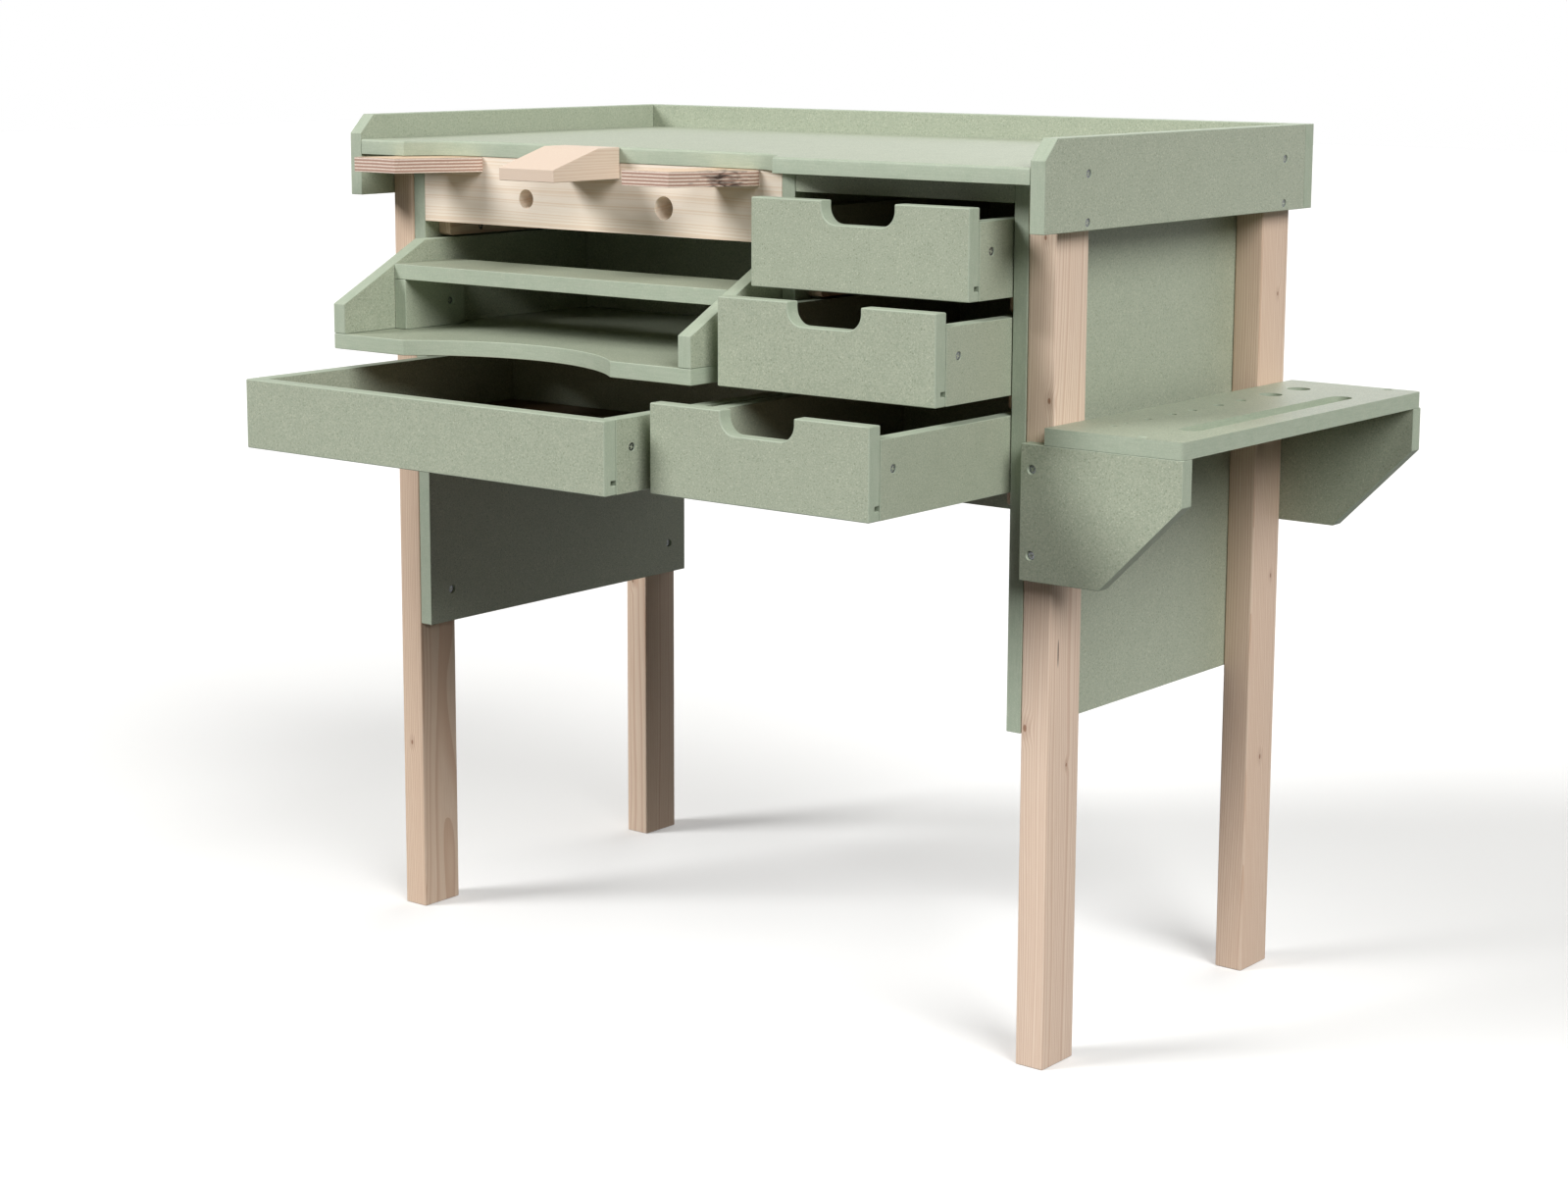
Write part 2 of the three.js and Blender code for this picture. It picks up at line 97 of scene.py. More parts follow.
def new_material(name, roughness):
    """An empty material with its shader and its Object coordinates in millimetres."""
    material = bpy.data.materials.new(name)
    material.use_nodes = True
    tree = material.node_tree
    shader = tree.nodes["Principled BSDF"]
    shader.inputs["Roughness"].default_value = roughness
    place = add(tree, "ShaderNodeTexCoord").outputs["Object"]
    millimetres = add(tree, "ShaderNodeMapping", {"Vector": place, "Scale": (1000, 1000, 1000)})
    return material, tree, shader, millimetres.outputs["Vector"]


def planed_softwood(name, grain, pith, light, dark, tint, ring=2.6, knots=(), blush=0.5, split=None):
    """Spruce cut from a log whose pith runs along the grain axis at the given place, in millimetres.
    Rings are drawn round the pith, so every face shows the grain that belongs to it."""
    material, tree, shader, place = new_material(name, 0.55)
    # The log's own axes, with z along the grain.
    turn = {"x": (0, math.pi / 2, 0), "y": (math.pi / 2, 0, 0), "z": (0, 0, 0)}[grain]
    log = add(tree, "ShaderNodeMapping", {"Vector": place, "Rotation": turn}).outputs["Vector"]
    # Growth wanders slowly along the trunk: features 140 mm across and 900 mm long.
    slow = add(tree, "ShaderNodeMapping", {"Vector": log, "Scale": (1 / 140, 1 / 140, 1 / 900)})
    wander = add(tree, "ShaderNodeTexNoise", {"Vector": slow.outputs["Vector"], "Scale": 1.0, "Detail": 2.0})
    wander_centred = add(tree, "ShaderNodeVectorMath", {0: wander.outputs["Color"], 1: (0.5, 0.5, 0.5)},
                         operation="SUBTRACT")
    wander_mm = add(tree, "ShaderNodeVectorMath", {0: wander_centred.outputs[0], 1: (34, 34, 0)},
                    operation="MULTIPLY")
    bent = add(tree, "ShaderNodeVectorMath", {0: log, 1: wander_mm.outputs[0]}, operation="ADD")
    from_pith = add(tree, "ShaderNodeVectorMath", {0: bent.outputs[0], 1: (*pith, 0)}, operation="SUBTRACT")
    across = add(tree, "ShaderNodeVectorMath", {0: from_pith.outputs[0], 1: (1, 1, 0)}, operation="MULTIPLY")
    radius = add(tree, "ShaderNodeVectorMath", {0: across.outputs[0]}, operation="LENGTH").outputs["Value"]
    # Rings swell round each knot and the wood darkens towards its heart.
    heart = None
    for knot, size in knots:
        offset = add(tree, "ShaderNodeVectorMath", {0: place, 1: knot}, operation="SUBTRACT")
        squeeze = (0.55, 1, 1) if grain == "x" else (1, 1, 0.55)
        oval = add(tree, "ShaderNodeVectorMath", {0: offset.outputs[0], 1: squeeze}, operation="MULTIPLY")
        reach = add(tree, "ShaderNodeVectorMath", {0: oval.outputs[0]}, operation="LENGTH").outputs["Value"]
        swell = add(tree, "ShaderNodeMapRange", {"Value": reach, "From Min": 0, "From Max": 5 * size,
                                                 "To Min": 1.3 * size, "To Max": 0},
                    interpolation_type="SMOOTHSTEP")
        radius = add(tree, "ShaderNodeMath", {0: radius, 1: swell.outputs[0]}, operation="ADD").outputs[0]
        core = add(tree, "ShaderNodeMapRange", {"Value": reach, "From Min": 0.45 * size, "From Max": size,
                                                "To Min": 1, "To Max": 0}, interpolation_type="SMOOTHSTEP")
        halo = add(tree, "ShaderNodeMapRange", {"Value": reach, "From Min": size, "From Max": 3.2 * size,
                                                "To Min": 0.22, "To Max": 0}, interpolation_type="SMOOTHSTEP")
        spot = add(tree, "ShaderNodeMath", {0: core.outputs[0], 1: halo.outputs[0]}, operation="MAXIMUM")
        if heart is None:
            heart = spot.outputs[0]
        else:
            heart = add(tree, "ShaderNodeMath", {0: heart, 1: spot.outputs[0]},
                        operation="MAXIMUM").outputs[0]
    # Ring widths vary between wet and dry years.
    years = add(tree, "ShaderNodeTexNoise", {"W": radius, "Scale": 0.09, "Detail": 1.0},
                noise_dimensions="1D")
    drift = add(tree, "ShaderNodeMath", {0: years.outputs["Fac"], 1: 2.4}, operation="MULTIPLY")
    count = add(tree, "ShaderNodeMath", {0: radius, 1: ring}, operation="DIVIDE")
    counted = add(tree, "ShaderNodeMath", {0: count.outputs[0], 1: drift.outputs[0]}, operation="ADD")
    phase = add(tree, "ShaderNodeMath", {0: counted.outputs[0]}, operation="FRACT")
    # Pale early wood darkens slowly to late wood and then starts again at once.
    late = add(tree, "ShaderNodeValToRGB", {"Fac": phase.outputs[0]}, stops=[
        (0.0, (0.15, 0.15, 0.15, 1)), (0.12, (0, 0, 0, 1)), (0.55, (0.14, 0.14, 0.14, 1)),
        (0.86, (0.85, 0.85, 0.85, 1)), (1.0, (1, 1, 1, 1))])
    # Fibres 0.8 mm wide and 60 mm long.
    fine = add(tree, "ShaderNodeMapping", {"Vector": bent.outputs[0], "Scale": (1 / 0.8, 1 / 0.8, 1 / 60)})
    fibre = add(tree, "ShaderNodeTexNoise", {"Vector": fine.outputs["Vector"], "Scale": 1.0, "Detail": 3.0,
                                             "Roughness": 0.65})
    # Sapwood and heartwood differ a little in tint over a hand's breadth.
    broad = add(tree, "ShaderNodeMapping", {"Vector": log, "Scale": (1 / 40, 1 / 40, 1 / 260)})
    stain = add(tree, "ShaderNodeTexNoise", {"Vector": broad.outputs["Vector"], "Scale": 1.0, "Detail": 2.0})
    stain_fac = add(tree, "ShaderNodeMath", {0: stain.outputs["Fac"], 1: blush}, operation="MULTIPLY")
    ground = add(tree, "ShaderNodeMix", {"Factor": stain_fac.outputs[0], 6: linear(light), 7: linear(tint)},
                 data_type="RGBA")
    late_fac = add(tree, "ShaderNodeMath", {0: late.outputs["Color"], 1: 0.66}, operation="MULTIPLY")
    ringed = add(tree, "ShaderNodeMix", {"Factor": late_fac.outputs[0], 6: ground.outputs[2],
                                         7: linear(dark)}, data_type="RGBA")
    fibre_fac = add(tree, "ShaderNodeMapRange", {"Value": fibre.outputs["Fac"], "From Min": 0.35,
                                                 "From Max": 0.75, "To Min": 0.0, "To Max": 0.36})
    colour = add(tree, "ShaderNodeMix", {"Factor": fibre_fac.outputs[0], 6: ringed.outputs[2],
                                         7: linear(dark)}, data_type="RGBA").outputs[2]
    if heart is not None:
        heart_fac = add(tree, "ShaderNodeMath", {0: heart, 1: 0.85}, operation="MULTIPLY")
        colour = add(tree, "ShaderNodeMix", {"Factor": heart_fac.outputs[0], 6: colour,
                                             7: linear("#8a5c40")}, data_type="RGBA").outputs[2]
    if split:
        # A drying split is a thin dark lens in a leg's side, 3 mm deep and 1.3 mm to each side of its middle.
        middle, half_length = split
        aside = add(tree, "ShaderNodeVectorMath", {0: place, 1: middle}, operation="SUBTRACT")
        narrow = add(tree, "ShaderNodeVectorMath", {0: aside.outputs[0],
                                                    1: (1 / 3, 1 / 1.3, 1 / half_length)},
                     operation="MULTIPLY")
        across_split = add(tree, "ShaderNodeVectorMath", {0: narrow.outputs[0]}, operation="LENGTH")
        gap = add(tree, "ShaderNodeMapRange", {"Value": across_split.outputs["Value"], "From Min": 0.7,
                                               "From Max": 1.0, "To Min": 0.9, "To Max": 0.0})
        colour = add(tree, "ShaderNodeMix", {"Factor": gap.outputs[0], 6: colour, 7: linear("#4a3428")},
                     data_type="RGBA").outputs[2]
    tree.links.new(colour, shader.inputs["Base Color"])
    relief = add(tree, "ShaderNodeMath", {0: fibre.outputs["Fac"], 1: late.outputs["Color"]}, operation="ADD")
    bump = add(tree, "ShaderNodeBump", {"Height": relief.outputs[0], "Strength": 0.12, "Distance": 0.0004})
    tree.links.new(bump.outputs["Normal"], shader.inputs["Normal"])
    return material


def take_in_hand(piece):
    """Selects the piece and nothing else, and makes it the active one."""
    bpy.ops.object.select_all(action="DESELECT")
    piece.select_set(True)
    bpy.context.view_layer.objects.active = piece


def merged_copy(node, name):
    """A copy of a CAD node whose loose triangles are merged into whole faces."""
    piece = bpy.data.objects.new(name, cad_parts[node].data.copy())
    scene.collection.objects.link(piece)
    take_in_hand(piece)
    piece.data.materials.clear()
    bpy.ops.object.mode_set(mode="EDIT")
    bpy.ops.mesh.select_all(action="SELECT")
    bpy.ops.mesh.remove_doubles(threshold=0.00002)
    bpy.ops.mesh.dissolve_limited(angle_limit=math.radians(0.5))
    bpy.ops.object.mode_set(mode="OBJECT")
    if piece.data.has_custom_normals:
        bpy.ops.mesh.customdata_custom_splitnormals_clear()
    return piece


def ease_edges(piece, width, segments=2, angle=35):
    """Rounds every edge sharper than the angle and keeps the flat faces flat to the light."""
    take_in_hand(piece)
    bpy.ops.object.shade_smooth()
    bevel = piece.modifiers.new("eased", "BEVEL")
    bevel.width = width
    bevel.segments = segments
    bevel.limit_method = "ANGLE"
    bevel.angle_limit = math.radians(angle)
    bevel.harden_normals = True
    bevel.use_clamp_overlap = True
    bpy.ops.object.modifier_apply(modifier=bevel.name)


def fit(piece, node, body):
    """The piece stands for a CAD node and moves with its body."""
    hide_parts(node)
    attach(piece, body)


for name, pith, light, dark, tint, knots in (
    ("leg_front_left", (-640, -60), "#ead4bd", "#c6a083", "#e4c9b2",
     [((-547, -105, 640), 3.0), ((-540, -106, 210), 2.4)]),
    ("leg_front_right", (300, -170), "#ecd8c4", "#c9a58b", "#e8cfbd",
     [((379, -106, 372), 3.2), ((402, -106, 722), 2.6), ((394, -106, 890), 2.2), ((409, -58, 560), 2.6),
      ((409, -70, 330), 1.8)]),
    ("leg_rear_left", (-600, 480), "#ebd6c0", "#c9a388", "#e3cab5",
     [((-538, 319, 412), 3.0), ((-544, 319, 352), 2.4)]),
    ("leg_rear_right", (470, 250), "#e6d1bc", "#c49d82", "#e1c7b2",
     [((409, 350, 255), 2.6), ((409, 362, 470), 2.2), ((409, 345, 640), 2.4), ((409, 358, 800), 2.0)]),
):
    leg = merged_copy(name, name + "_planed")
    ease_edges(leg, 0.0012)
    leg.data.materials.append(planed_softwood(
        "planed_spruce_" + name, "z", pith, light, dark, tint, knots=knots,
        split=((409, -89.6, 454), 17) if name == "leg_front_right" else None))
    fit(leg, name, "bench")


# ---------------------------------------------------------------- side panels, divider, back and rail
# 18 mm moisture-resistant MDF, dyed green in the fibre and left bare. The pressed faces are smooth and
# flecked with pale and dark fibres. The sawn edges are plainer, a clearer green, and brushed along the cut.

FLECK = 1.3  # mm, the size of a visible fibre bundle


def mdf_face():
    """The pressed face: grey-green, with clouds 25 mm across, fine grain, and pale and dark flecks."""
    material, tree, shader, place = new_material("green_mdf_pressed_face", 0.46)
    clouds = add(tree, "ShaderNodeTexNoise", {"Vector": place, "Scale": 1 / 25, "Detail": 3.0})
    ground = add(tree, "ShaderNodeMix", {"Factor": clouds.outputs["Fac"], 6: linear("#a5ac97"),
                                         7: linear("#b4baa5")}, data_type="RGBA")
    dust = add(tree, "ShaderNodeTexNoise", {"Vector": place, "Scale": 1 / 1.6, "Detail": 3.0,
                                            "Roughness": 0.7})
    dust_fac = add(tree, "ShaderNodeMapRange", {"Value": dust.outputs["Fac"], "From Min": 0.42,
                                                "From Max": 0.62, "To Min": 0.0, "To Max": 0.75})
    dusty = add(tree, "ShaderNodeMix", {"Factor": dust_fac.outputs[0], 6: ground.outputs[2],
                                        7: linear("#8e9a86")}, data_type="RGBA")
    # Long fibres lie every way in the board, so the cells that make the flecks are pulled out of round.
    ruffle = add(tree, "ShaderNodeTexNoise", {"Vector": place, "Scale": 1 / 3, "Detail": 1.0})
    ruffled = add(tree, "ShaderNodeVectorMath", {0: ruffle.outputs["Color"], 1: (3, 3, 3), 2: place},
                  operation="MULTIPLY_ADD")
    colour = dusty.outputs[2]
    # The pale flecks lie 2.9 mm apart and the dark ones 3.4 mm. A share of the cells stays empty.
    for spacing, empty_share, shade in ((2.2 * FLECK, 0.42, "#ced2be"), (2.6 * FLECK, 0.55, "#768069")):
        cells = add(tree, "ShaderNodeTexVoronoi", {"Vector": ruffled.outputs[0], "Scale": 1 / spacing})
        dot = add(tree, "ShaderNodeMapRange", {"Value": cells.outputs["Distance"], "From Min": 0.1,
                                               "From Max": 0.34, "To Min": 0.6, "To Max": 0.0})
        lottery = add(tree, "ShaderNodeSeparateColor", {"Color": cells.outputs["Color"]})
        drawn = add(tree, "ShaderNodeMath", {0: lottery.outputs[0], 1: empty_share},
                    operation="GREATER_THAN")
        fleck = add(tree, "ShaderNodeMath", {0: dot.outputs[0], 1: drawn.outputs[0]}, operation="MULTIPLY")
        colour = add(tree, "ShaderNodeMix", {"Factor": fleck.outputs[0], 6: colour, 7: linear(shade)},
                     data_type="RGBA").outputs[2]
    tree.links.new(colour, shader.inputs["Base Color"])
    bump = add(tree, "ShaderNodeBump", {"Height": dust.outputs["Fac"], "Strength": 0.06, "Distance": 0.0003})
    tree.links.new(bump.outputs["Normal"], shader.inputs["Normal"])
    return material


def mdf_edge(thickness):
    """The sawn edge of a board whose thickness runs along the named axis."""
    material, tree, shader, place = new_material(f"green_mdf_sawn_edge_{thickness}", 0.62)
    # The saw leaves streaks along the edge, 1.2 mm apart and 25 mm long.
    stretch = {axis: 1 / 1.2 if axis == thickness else 1 / 25 for axis in "xyz"}
    along = add(tree, "ShaderNodeMapping", {"Vector": place, "Scale": tuple(stretch.values())})
    streaks = add(tree, "ShaderNodeTexNoise", {"Vector": along.outputs["Vector"], "Scale": 1.0, "Detail": 3.0,
                                               "Roughness": 0.6})
    clouds = add(tree, "ShaderNodeTexNoise", {"Vector": place, "Scale": 1 / 18, "Detail": 2.0})
    ground = add(tree, "ShaderNodeMix", {"Factor": clouds.outputs["Fac"], 6: linear("#9fad98"),
                                         7: linear("#b0b9a6")}, data_type="RGBA")
    streak_fac = add(tree, "ShaderNodeMapRange", {"Value": streaks.outputs["Fac"], "From Min": 0.45,
                                                  "From Max": 0.75, "To Min": 0.0, "To Max": 0.5})
    streaked = add(tree, "ShaderNodeMix", {"Factor": streak_fac.outputs[0], 6: ground.outputs[2],
                                           7: linear("#93a08a")}, data_type="RGBA")
    grit = add(tree, "ShaderNodeTexNoise", {"Vector": place, "Scale": 1 / 1.5, "Detail": 2.0})
    grit_fac = add(tree, "ShaderNodeMapRange", {"Value": grit.outputs["Fac"], "From Min": 0.5,
                                                "From Max": 0.75, "To Min": 0.0, "To Max": 0.4})
    gritty = add(tree, "ShaderNodeMix", {"Factor": grit_fac.outputs[0], 6: streaked.outputs[2],
                                         7: linear("#c3cab4")}, data_type="RGBA")
    tree.links.new(gritty.outputs[2], shader.inputs["Base Color"])
    bump = add(tree, "ShaderNodeBump", {"Height": streaks.outputs["Fac"], "Strength": 0.12,
                                        "Distance": 0.0004})
    tree.links.new(bump.outputs["Normal"], shader.inputs["Normal"])
    return material


PRESSED_FACE = mdf_face()
SAWN_EDGE = {axis: mdf_edge(axis) for axis in "xyz"}


def cut_away(piece, cutter):
    """Cuts the cutter's shape out of the piece and throws the cutter away."""
    bpy.context.view_layer.objects.active = piece
    cut = piece.modifiers.new("cut", "BOOLEAN")
    cut.operation = "DIFFERENCE"
    cut.solver = "EXACT"
    cut.object = cutter
    bpy.ops.object.modifier_apply(modifier=cut.name)
    bpy.data.objects.remove(cutter)


def sink_screws(piece, holes):
    """Cuts a cone for each screw: a hole is its place, its outward direction, and how deep the head sits."""
    floor_radius = 0.0044
    above_face = 0.001  # the drill starts clear of the board
    for centre, outward, depth in holes:
        rim = 0.0051 + 0.2 * depth
        bpy.ops.object.select_all(action="DESELECT")
        bpy.ops.mesh.primitive_cone_add(vertices=32, radius1=floor_radius, radius2=rim,
                                        depth=depth + above_face)
        drill = bpy.context.object
        turn = Vector(outward).to_track_quat("Z", "Y").to_matrix().to_4x4()
        shift = Matrix.Translation(Vector(centre) + Vector(outward) * (above_face - depth) / 2)
        drill.data.transform(shift @ turn @ Matrix.Translation(-drill.location))
        drill.location = (0, 0, 0)
        cut_away(piece, drill)


def face_board(piece, thickness):
    """Faces square to the board's thickness are pressed, and all the others are sawn."""
    piece.data.materials.append(PRESSED_FACE)
    piece.data.materials.append(SAWN_EDGE[thickness])
    axis = "xyz".index(thickness)
    for face in piece.data.polygons:
        face.material_index = 0 if abs(face.normal[axis]) > 0.95 else 1


def mdf_board(node, body, thickness, ease=0.0008, holes=()):
    """An MDF board: its edges just taken off, its screw holes sunk, its faces and edges told apart."""
    piece = merged_copy(node, node + "_board")
    ease_edges(piece, ease)
    sink_screws(piece, holes)
    face_board(piece, thickness)
    fit(piece, node, body)


DEEP = 0.0026  # heads sunk well below the face
FLUSH = 0.001  # heads a millimetre below the face
screws = {}  # body: [(place, outward direction)]


def screw(body, place, outward, depth):
    """Notes a screw for the screw section and returns its hole."""
    screws.setdefault(body, []).append((Vector(place) - Vector(outward) * depth, Vector(outward)))
    return (place, outward, depth)


above_edge = 0.04
leg_insets = (0.037, 0.452)  # over the front leg and over the rear one
for name, side in (("side_panel_left", 1), ("side_panel_right", -1)):
    low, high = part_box(name)
    inner = high.x if side > 0 else low.x
    mdf_board(name, "bench", "x", holes=[
        screw("bench", (inner, low.y + inset, low.z + above_edge), (side, 0, 0), DEEP)
        for inset in leg_insets])

mdf_board("divider", "bench", "x")
mdf_board("back_panel", "bench", "y")
mdf_board("upper_rail", "bench", "y")


# ---------------------------------------------------------------- apron
# One planed spruce board on edge between the left panel and the divider, with two round holes for
# mandrels. Its grain runs along the bench in long soft arches.

apron = merged_copy("apron", "apron_planed")
ease_edges(apron, 0.0012, angle=40)
apron.data.materials.append(planed_softwood(
    "planed_spruce_apron", "x", (-897, -52), "#f8eee0", "#e4cbae", "#f5e6d6", ring=6.5, blush=0.7))
fit(apron, "apron", "bench")


# ---------------------------------------------------------------- runners and kickers
# Strips of spruce that the drawers and the tray slide on, with a pair above the tray to stop it tipping.
# They are screwed through their sides to the panel and the divider.

strip_wood = planed_softwood("planed_spruce_strip", "y", (-200, -900), "#e0cab4", "#b9927a", "#d9bea9")
from_end = 0.055
for name in sorted(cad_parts):
    if name.startswith(("runner_", "kicker_")):
        low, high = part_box(name)
        side = 1 if name.endswith("_left") else -1
        inner = high.x if side > 0 else low.x
        strip = merged_copy(name, name + "_strip")
        ease_edges(strip, 0.0009, angle=25)
        sink_screws(strip, [screw("bench", (inner, y, (low.z + high.z) / 2), (side, 0, 0), DEEP)
                            for y in (low.y + from_end, high.y - from_end)])
        strip.data.materials.append(strip_wood)
        fit(strip, name, "bench")


# ---------------------------------------------------------------- worktop
# 18 mm MDF with a wide cut-out for the person at the bench. The top arris is rounded over along the
# front, where the arms lie.

def select_edges(piece, wanted):
    """Selects the edges for which wanted(first end, second end) holds, in edit mode."""
    take_in_hand(piece)
    bpy.ops.object.mode_set(mode="EDIT")
    bpy.ops.mesh.select_mode(type="EDGE")
    bpy.ops.mesh.select_all(action="DESELECT")
    bpy.ops.object.mode_set(mode="OBJECT")
    for edge in piece.data.edges:
        a, b = (piece.data.vertices[i].co for i in edge.vertices)
        edge.select = wanted(a, b)
    bpy.ops.object.mode_set(mode="EDIT")


worktop = merged_copy("worktop", "worktop_board")
low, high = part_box("worktop")
front_zone = low.y + 0.056  # just past the floor of the cut-out
round_over = 0.003


def front_arris(a, b):
    on_top = min(a.z, b.z) > high.z - 0.0001
    in_front = max(a.y, b.y) < front_zone
    along_side = abs(a.x - b.x) < 0.0001
    return on_top and in_front and not along_side


select_edges(worktop, front_arris)
bpy.ops.mesh.bevel(offset=round_over, segments=4, affect="EDGES")
bpy.ops.object.mode_set(mode="OBJECT")
ease_edges(worktop, 0.0007, angle=50)
face_board(worktop, "z")
fit(worktop, "worktop", "bench")


# ---------------------------------------------------------------- gallery
# Three MDF boards stand round the sides and the back of the worktop, screwed to its edges and to the
# legs. The front corners are cut off at 45 degrees.

leg_lift = 0.008  # into the tops of the legs
worktop_lift = 0.058  # into the edge of the worktop
for name, side in (("gallery_left", -1), ("gallery_right", 1)):
    low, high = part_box(name)
    outer = high.x if side > 0 else low.x
    mdf_board(name, "bench", "x", holes=[
        screw("bench", (outer, low.y + inset, low.z + lift), (side, 0, 0), FLUSH)
        for inset in (0.081, 0.492) for lift in (leg_lift, worktop_lift)])

low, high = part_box("gallery_back")
mdf_board("gallery_back", "bench", "y", holes=[
    screw("bench", (x, high.y, low.z + worktop_lift), (0, 1, 0), FLUSH)
    for x in (low.x + 0.03, low.x + 0.34, high.x - 0.34, high.x - 0.03)])


# ---------------------------------------------------------------- arm rests
# Two pieces of nine-ply birch, their tongues held in the apron under the worktop. The cut edges show the
# plies in turn, cream where the grain runs along the cut and brown where it is cut across. The right
# one has been scorched by the torch.

def birch_ply(name, bottom, thickness, scorch=None):
    """Birch plywood in nine plies, with its face veneer on top and the plies striped on the edges."""
    pairs_of_plies = 4.5
    material, tree, shader, place = new_material(name, 0.5)
    axes = add(tree, "ShaderNodeSeparateXYZ", {"Vector": place})
    wobble = add(tree, "ShaderNodeTexNoise", {"Vector": place, "Scale": 1 / 45, "Detail": 1.0})
    height = add(tree, "ShaderNodeMath", {0: wobble.outputs["Fac"], 1: 0.7, 2: axes.outputs["Z"]},
                 operation="MULTIPLY_ADD")
    plies = add(tree, "ShaderNodeMapRange", {"Value": height.outputs[0], "From Min": bottom,
                                             "From Max": bottom + thickness, "To Min": 0.0,
                                             "To Max": pairs_of_plies})
    pair = add(tree, "ShaderNodeMath", {0: plies.outputs[0]}, operation="FRACT")
    cream, brown, glue = linear("#f0dfd0"), linear("#b18d7c"), linear("#6f4e42")
    stripes = add(tree, "ShaderNodeValToRGB", {"Fac": pair.outputs[0]}, stops=[
        (0.0, glue), (0.05, cream), (0.45, cream), (0.5, glue), (0.55, brown), (0.96, brown)])
    fine = add(tree, "ShaderNodeMapping", {"Vector": place, "Scale": (1 / 2.2, 1 / 2.2, 1 / 0.5)})
    fibre = add(tree, "ShaderNodeTexNoise", {"Vector": fine.outputs["Vector"], "Scale": 1.0, "Detail": 3.0})
    fibre_fac = add(tree, "ShaderNodeMapRange", {"Value": fibre.outputs["Fac"], "From Min": 0.4,
                                                 "From Max": 0.75, "To Min": 0.0, "To Max": 0.45})
    edge = add(tree, "ShaderNodeMix", {"Factor": fibre_fac.outputs[0], 6: stripes.outputs["Color"],
                                       7: linear("#a57e6b")}, data_type="RGBA")
    # The veneer's grain runs across the bench.
    veneer_place = add(tree, "ShaderNodeMapping", {"Vector": place, "Scale": (1 / 90, 1 / 5, 1 / 90)})
    veneer = add(tree, "ShaderNodeTexNoise", {"Vector": veneer_place.outputs["Vector"], "Scale": 1.0,
                                              "Detail": 4.0, "Distortion": 0.6})
    face = add(tree, "ShaderNodeMix", {"Factor": veneer.outputs["Fac"], 6: linear("#e8d0b4"),
                                       7: linear("#d2b08e")}, data_type="RGBA")
    facing = add(tree, "ShaderNodeNewGeometry")
    normal = add(tree, "ShaderNodeSeparateXYZ", {"Vector": facing.outputs["Normal"]})
    upright = add(tree, "ShaderNodeMath", {0: normal.outputs["Z"]}, operation="ABSOLUTE")
    flat = add(tree, "ShaderNodeMath", {0: upright.outputs[0], 1: 0.9}, operation="GREATER_THAN")
    colour = add(tree, "ShaderNodeMix", {"Factor": flat.outputs[0], 6: edge.outputs[2], 7: face.outputs[2]},
                 data_type="RGBA").outputs[2]
    if scorch:
        # Burn marks run up the cut edge in slanting licks, darkest in the middle of the burnt stretch.
        centre, reach = scorch
        offset = add(tree, "ShaderNodeVectorMath", {0: place, 1: centre}, operation="SUBTRACT")
        distance = add(tree, "ShaderNodeVectorMath", {0: offset.outputs[0]}, operation="LENGTH")
        near = add(tree, "ShaderNodeMapRange", {"Value": distance.outputs["Value"], "From Min": reach * 0.2,
                                                "From Max": reach, "To Min": 0.2, "To Max": -0.3})
        lick_place = add(tree, "ShaderNodeMapping", {"Vector": place, "Rotation": (0, 0.5, 0),
                                                     "Scale": (1 / 9, 1 / 20, 1 / 4)})
        licks = add(tree, "ShaderNodeTexNoise", {"Vector": lick_place.outputs["Vector"], "Scale": 1.0,
                                                 "Detail": 3.0, "Distortion": 0.8})
        heat = add(tree, "ShaderNodeMath", {0: near.outputs[0], 1: licks.outputs["Fac"]}, operation="ADD")
        burnt = add(tree, "ShaderNodeMapRange", {"Value": heat.outputs[0], "From Min": 0.5, "From Max": 0.85,
                                                 "To Min": 0.0, "To Max": 0.95})
        colour = add(tree, "ShaderNodeMix", {"Factor": burnt.outputs[0], 6: colour, 7: linear("#2b1a12")},
                     data_type="RGBA").outputs[2]
    tree.links.new(colour, shader.inputs["Base Color"])
    bump = add(tree, "ShaderNodeBump", {"Height": fibre.outputs["Fac"], "Strength": 0.2, "Distance": 0.0004})
    tree.links.new(bump.outputs["Normal"], shader.inputs["Normal"])
    return material


MM = 0.001
burn_reach = 62
for name in ("armrest_left", "armrest_right"):
    low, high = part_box(name)
    bottom = low.z / MM
    thickness = (high.z - low.z) / MM
    # The burn is on the slanted right side, two thirds of the way back.
    burn = (low.x / MM + 100, low.y / MM + 60, bottom + thickness / 2)
    rest = merged_copy(name, name + "_ply")
    ease_edges(rest, 0.0006)
    rest.data.materials.append(birch_ply("birch_plywood_" + name, bottom, thickness,
                                         (burn, burn_reach) if name == "armrest_right" else None))
    fit(rest, name, "bench")


# ---------------------------------------------------------------- bench pin
# A wedge of pale close-grained softwood that slides into the apron by its tongue. Its grain runs from
# front to back, so the front edge shows end grain as fine upright lines.

pin = merged_copy("bench_pin", "bench_pin_wedge")
ease_edges(pin, 0.0009, angle=15)
pin.data.materials.append(planed_softwood(
    "planed_pine_pin", "y", (-280, -1010), "#e2d1c0", "#cdb198", "#decbba", ring=1.9, blush=0.6))
fit(pin, "bench_pin", "bench_pin")


# ---------------------------------------------------------------- sliding tray
# A shallow MDF tray for filings with a scooped front, sloping sides and a shelf across it on two short
# supports. The shelf's supports are screwed to the sides.

